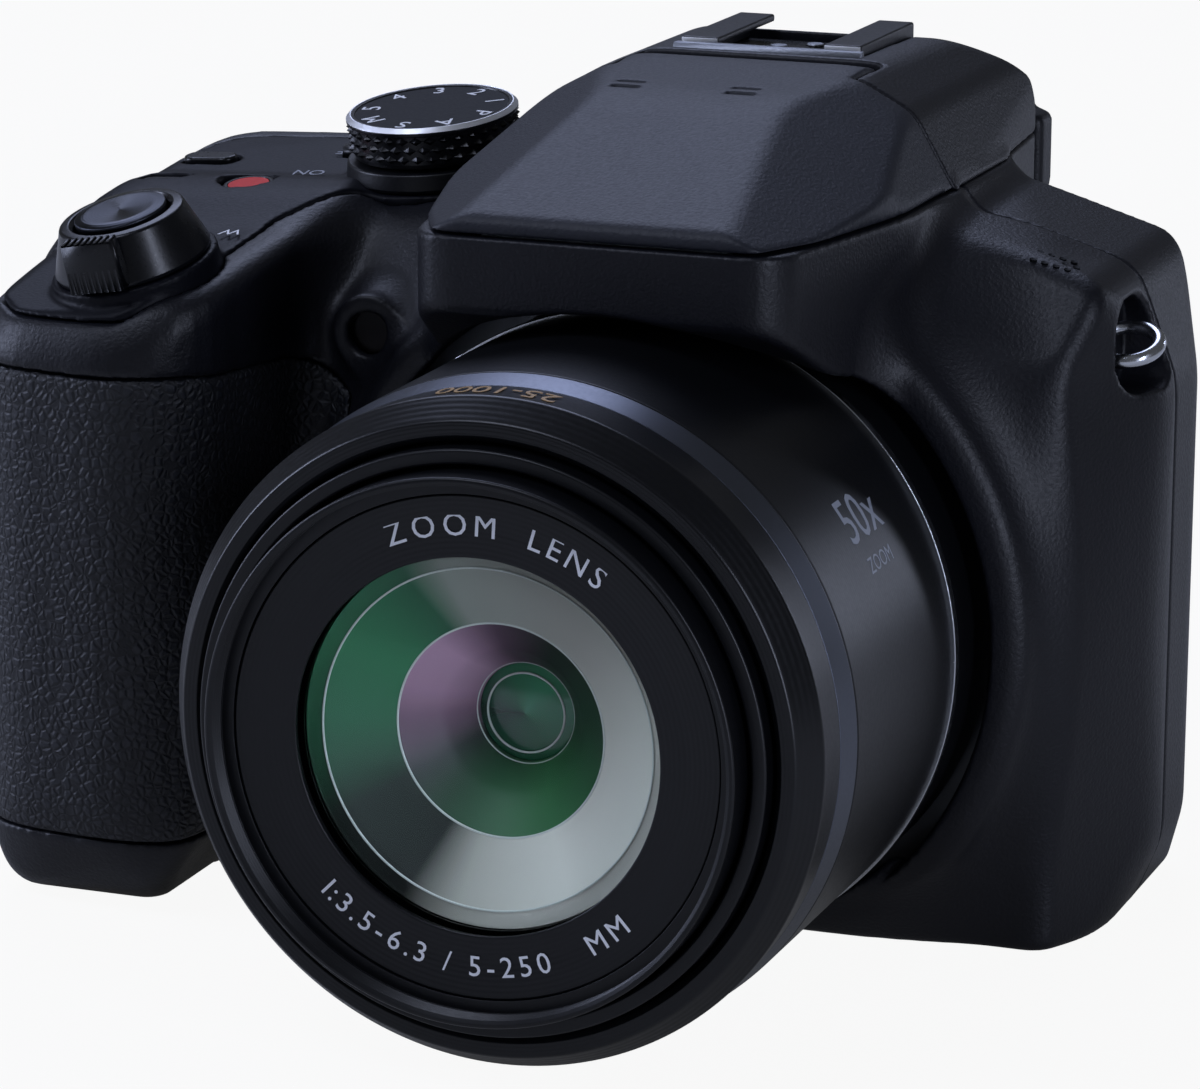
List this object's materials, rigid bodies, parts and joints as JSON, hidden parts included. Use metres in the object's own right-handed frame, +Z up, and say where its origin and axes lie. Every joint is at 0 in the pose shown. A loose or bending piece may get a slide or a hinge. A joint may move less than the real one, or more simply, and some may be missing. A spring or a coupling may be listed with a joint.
{
  "type": "bridge camera",
  "caption": "Bridge camera with a moulded body, hand grip, lift-up flash over a hot shoe, deck dials and buttons, rear screen, eye-level finder and a retracting zoom lens.",
  "frame": {"origin": "mouth of the tripod socket in the base", "axes": "+Z up, the lens looks along -Y, the hand grip is at -X"},
  "size_m": [0.1302, 0.1282, 0.0943],
  "materials": {
    "case_plastic": "fine sand-textured bluish black moulding",
    "panel_plastic": "smoother satin black moulding",
    "grip_rubber": "pebbled black rubber",
    "control_plastic": "satin black control caps",
    "lens_plastic": "satin black lens mouldings",
    "dark_metal": "black anodised and painted metal",
    "bright_metal": "plated bright metal",
    "steel": "plain steel screws, pins and inserts",
    "gear_brass": "turned brass pinion",
    "chassis_metal": "die-cast inner frame",
    "optical_glass": "coated optical glass",
    "screen_glass": "dark cover glass over the screen",
    "screen_black": "black screen and finder modules",
    "flash_clear": "ribbed clear flash window",
    "lamp_red": "dark red lamp window",
    "board_green": "green circuit board",
    "cell_wrap": "wrapped battery, card and capacitor"
  },
  "bodies": {
    "case": {"front_case": "case_plastic", "rear_case": "case_plastic", "hump_cover": "case_plastic", "top_panel": "panel_plastic", "grip_rubber": "grip_rubber", "thumb_rest": "grip_rubber", "flash_hinge_pin": "steel", "hot_shoe_rails": "dark_metal", "hot_shoe_plate": "screen_black", "screen_module": "screen_black", "screen_glass": "screen_glass", "eyecup": "case_plastic", "eyepiece_lens": "optical_glass", "finder_module": "screen_black", "lens_barrel": "lens_plastic", "barrel_trim_ring": "bright_metal", "front_ring": "lens_plastic", "rear_lens_group": "optical_glass", "zoom_motor": "steel", "lens_mount_plate": "chassis_metal", "image_sensor": "board_green", "battery_door_pin": "steel", "terminal_ports": "steel", "main_board": "board_green", "battery": "cell_wrap", "memory_card": "cell_wrap", "flash_capacitor": "cell_wrap", "case_screws": "steel", "tripod_socket": "steel", "strap_eyelets": "bright_metal", "focus_lamp_window": "lamp_red"},
    "flash_unit": {"flash_lid": "panel_plastic", "flash_head": "panel_plastic", "flash_window": "flash_clear"},
    "zoom_stage_one": {"zoom_barrel_middle": "lens_plastic", "middle_lens_group": "optical_glass"},
    "zoom_stage_two": {"zoom_barrel_inner": "lens_plastic", "name_ring": "lens_plastic", "front_lens": "optical_glass"},
    "cam_ring": {"cam_ring": "lens_plastic"},
    "drive_pinion": {"drive_pinion": "gear_brass"},
    "mode_dial": {"mode_dial": "control_plastic"},
    "power_lever": {"power_lever": "control_plastic"},
    "shutter_button": {"shutter_button": "dark_metal"},
    "zoom_lever": {"zoom_lever": "control_plastic"},
    "movie_button": {"movie_button": "control_plastic"},
    "focus_button": {"focus_button": "control_plastic"},
    "drive_button": {"drive_button": "control_plastic"},
    "rear_dial": {"rear_dial": "control_plastic"},
    "cursor_pad": {"cursor_pad": "control_plastic"},
    "menu_button": {"menu_button": "control_plastic"},
    "play_button": {"play_button": "control_plastic"},
    "display_button": {"display_button": "control_plastic"},
    "delete_button": {"delete_button": "control_plastic"},
    "viewfinder_button": {"viewfinder_button": "control_plastic"},
    "flash_button": {"flash_button": "control_plastic"},
    "diopter_dial": {"diopter_dial": "control_plastic"},
    "battery_door": {"battery_door": "case_plastic"},
    "battery_latch": {"battery_latch": "control_plastic"},
    "terminal_door": {"terminal_door": "case_plastic"}
  },
  "joints": [
    {"name": "cam_turn", "type": "hinge", "parent": "case", "child": "cam_ring", "pos_m": [0, 0, 0.0358], "axis": [0, 1, 0], "range_deg": [0, 120]},
    {"name": "zoom_slide", "type": "slide", "parent": "case", "child": "zoom_stage_one", "axis": [0, -1, 0], "range_m": [0, 0.032]},
    {"name": "inner_slide", "type": "slide", "parent": "zoom_stage_one", "child": "zoom_stage_two", "axis": [0, -1, 0], "range_m": [0, 0.032]},
    {"name": "pinion_spin", "type": "hinge", "parent": "case", "child": "drive_pinion", "pos_m": [-0.03399, 0, 0.05165], "axis": [0, 1, 0], "range_deg": [-780.5, 0]},
    {"name": "flash_lift", "type": "hinge", "parent": "case", "child": "flash_unit", "pos_m": [0, 0.008, 0.0886], "axis": [-1, 0, 0], "range_deg": [0, 42]},
    {"name": "mode_dial_spin", "type": "hinge", "parent": "case", "child": "mode_dial", "pos_m": [-0.0375, 0.0075, 0.078], "axis": [-0.0519, -0.1253, 0.9908], "continuous": true},
    {"name": "power_turn", "type": "hinge", "parent": "case", "child": "power_lever", "pos_m": [-0.0375, 0.0075, 0.078], "axis": [-0.0519, -0.1253, 0.9908], "range_deg": [0, 28]},
    {"name": "zoom_lever_turn", "type": "hinge", "parent": "case", "child": "zoom_lever", "pos_m": [-0.059, -0.028, 0.07239], "axis": [-0.1518, -0.2419, 0.9583], "range_deg": [-22, 22], "stiffness_Nm_per_rad": 0.03},
    {"name": "shutter_press", "type": "slide", "parent": "case", "child": "shutter_button", "axis": [0.1518, 0.2419, -0.9583], "range_m": [0, 0.0012], "stiffness_N_per_m": 400},
    {"name": "movie_press", "type": "slide", "parent": "case", "child": "movie_button", "axis": [0.0519, 0.1253, -0.9908], "range_m": [0, 0.0006], "stiffness_N_per_m": 400},
    {"name": "focus_press", "type": "slide", "parent": "case", "child": "focus_button", "axis": [0.0519, 0.1253, -0.9908], "range_m": [0, 0.0008], "stiffness_N_per_m": 400},
    {"name": "drive_press", "type": "slide", "parent": "case", "child": "drive_button", "axis": [0.0519, 0.1253, -0.9908], "range_m": [0, 0.0008], "stiffness_N_per_m": 400},
    {"name": "rear_dial_spin", "type": "hinge", "parent": "case", "child": "rear_dial", "pos_m": [-0.058, 0.02, 0.0645], "axis": [0, 0, 1], "continuous": true},
    {"name": "cursor_press", "type": "slide", "parent": "case", "child": "cursor_pad", "axis": [0, -1, 0], "range_m": [0, 0.0006], "stiffness_N_per_m": 400},
    {"name": "menu_press", "type": "slide", "parent": "case", "child": "menu_button", "axis": [0, -1, 0], "range_m": [0, 0.0008], "stiffness_N_per_m": 400},
    {"name": "play_press", "type": "slide", "parent": "case", "child": "play_button", "axis": [0, -1, 0], "range_m": [0, 0.0008], "stiffness_N_per_m": 400},
    {"name": "display_press", "type": "slide", "parent": "case", "child": "display_button", "axis": [0, -1, 0], "range_m": [0, 0.0008], "stiffness_N_per_m": 400},
    {"name": "delete_press", "type": "slide", "parent": "case", "child": "delete_button", "axis": [0, -1, 0], "range_m": [0, 0.0008], "stiffness_N_per_m": 400},
    {"name": "viewfinder_press", "type": "slide", "parent": "case", "child": "viewfinder_button", "axis": [0, -1, 0], "range_m": [0, 0.0008], "stiffness_N_per_m": 400},
    {"name": "flash_press", "type": "slide", "parent": "case", "child": "flash_button", "axis": [0, -1, 0], "range_m": [0, 0.0008], "stiffness_N_per_m": 400},
    {"name": "diopter_turn", "type": "hinge", "parent": "case", "child": "diopter_dial", "pos_m": [-0.024, 0.037, 0.076], "axis": [1, 0, 0], "range_deg": [-120, 120]},
    {"name": "battery_door_swing", "type": "hinge", "parent": "case", "child": "battery_door", "pos_m": [-0.0485, 0, 0.001], "axis": [0, -1, 0], "range_deg": [0, 95]},
    {"name": "battery_latch_slide", "type": "slide", "parent": "battery_door", "child": "battery_latch", "axis": [1, 0, 0], "range_m": [0, 0.003]},
    {"name": "terminal_door_swing", "type": "hinge", "parent": "case", "child": "terminal_door", "pos_m": [-0.0785, 0.0035, 0.037], "axis": [0, 0, -1], "range_deg": [0, 100]}
  ],
  "couplings": [
    {"joint": "zoom_slide", "follows": "cam_turn", "m_per_rad": 0.015279},
    {"joint": "inner_slide", "follows": "cam_turn", "m_per_rad": 0.015279},
    {"joint": "pinion_spin", "follows": "cam_turn", "ratio": -6.5}
  ]
}
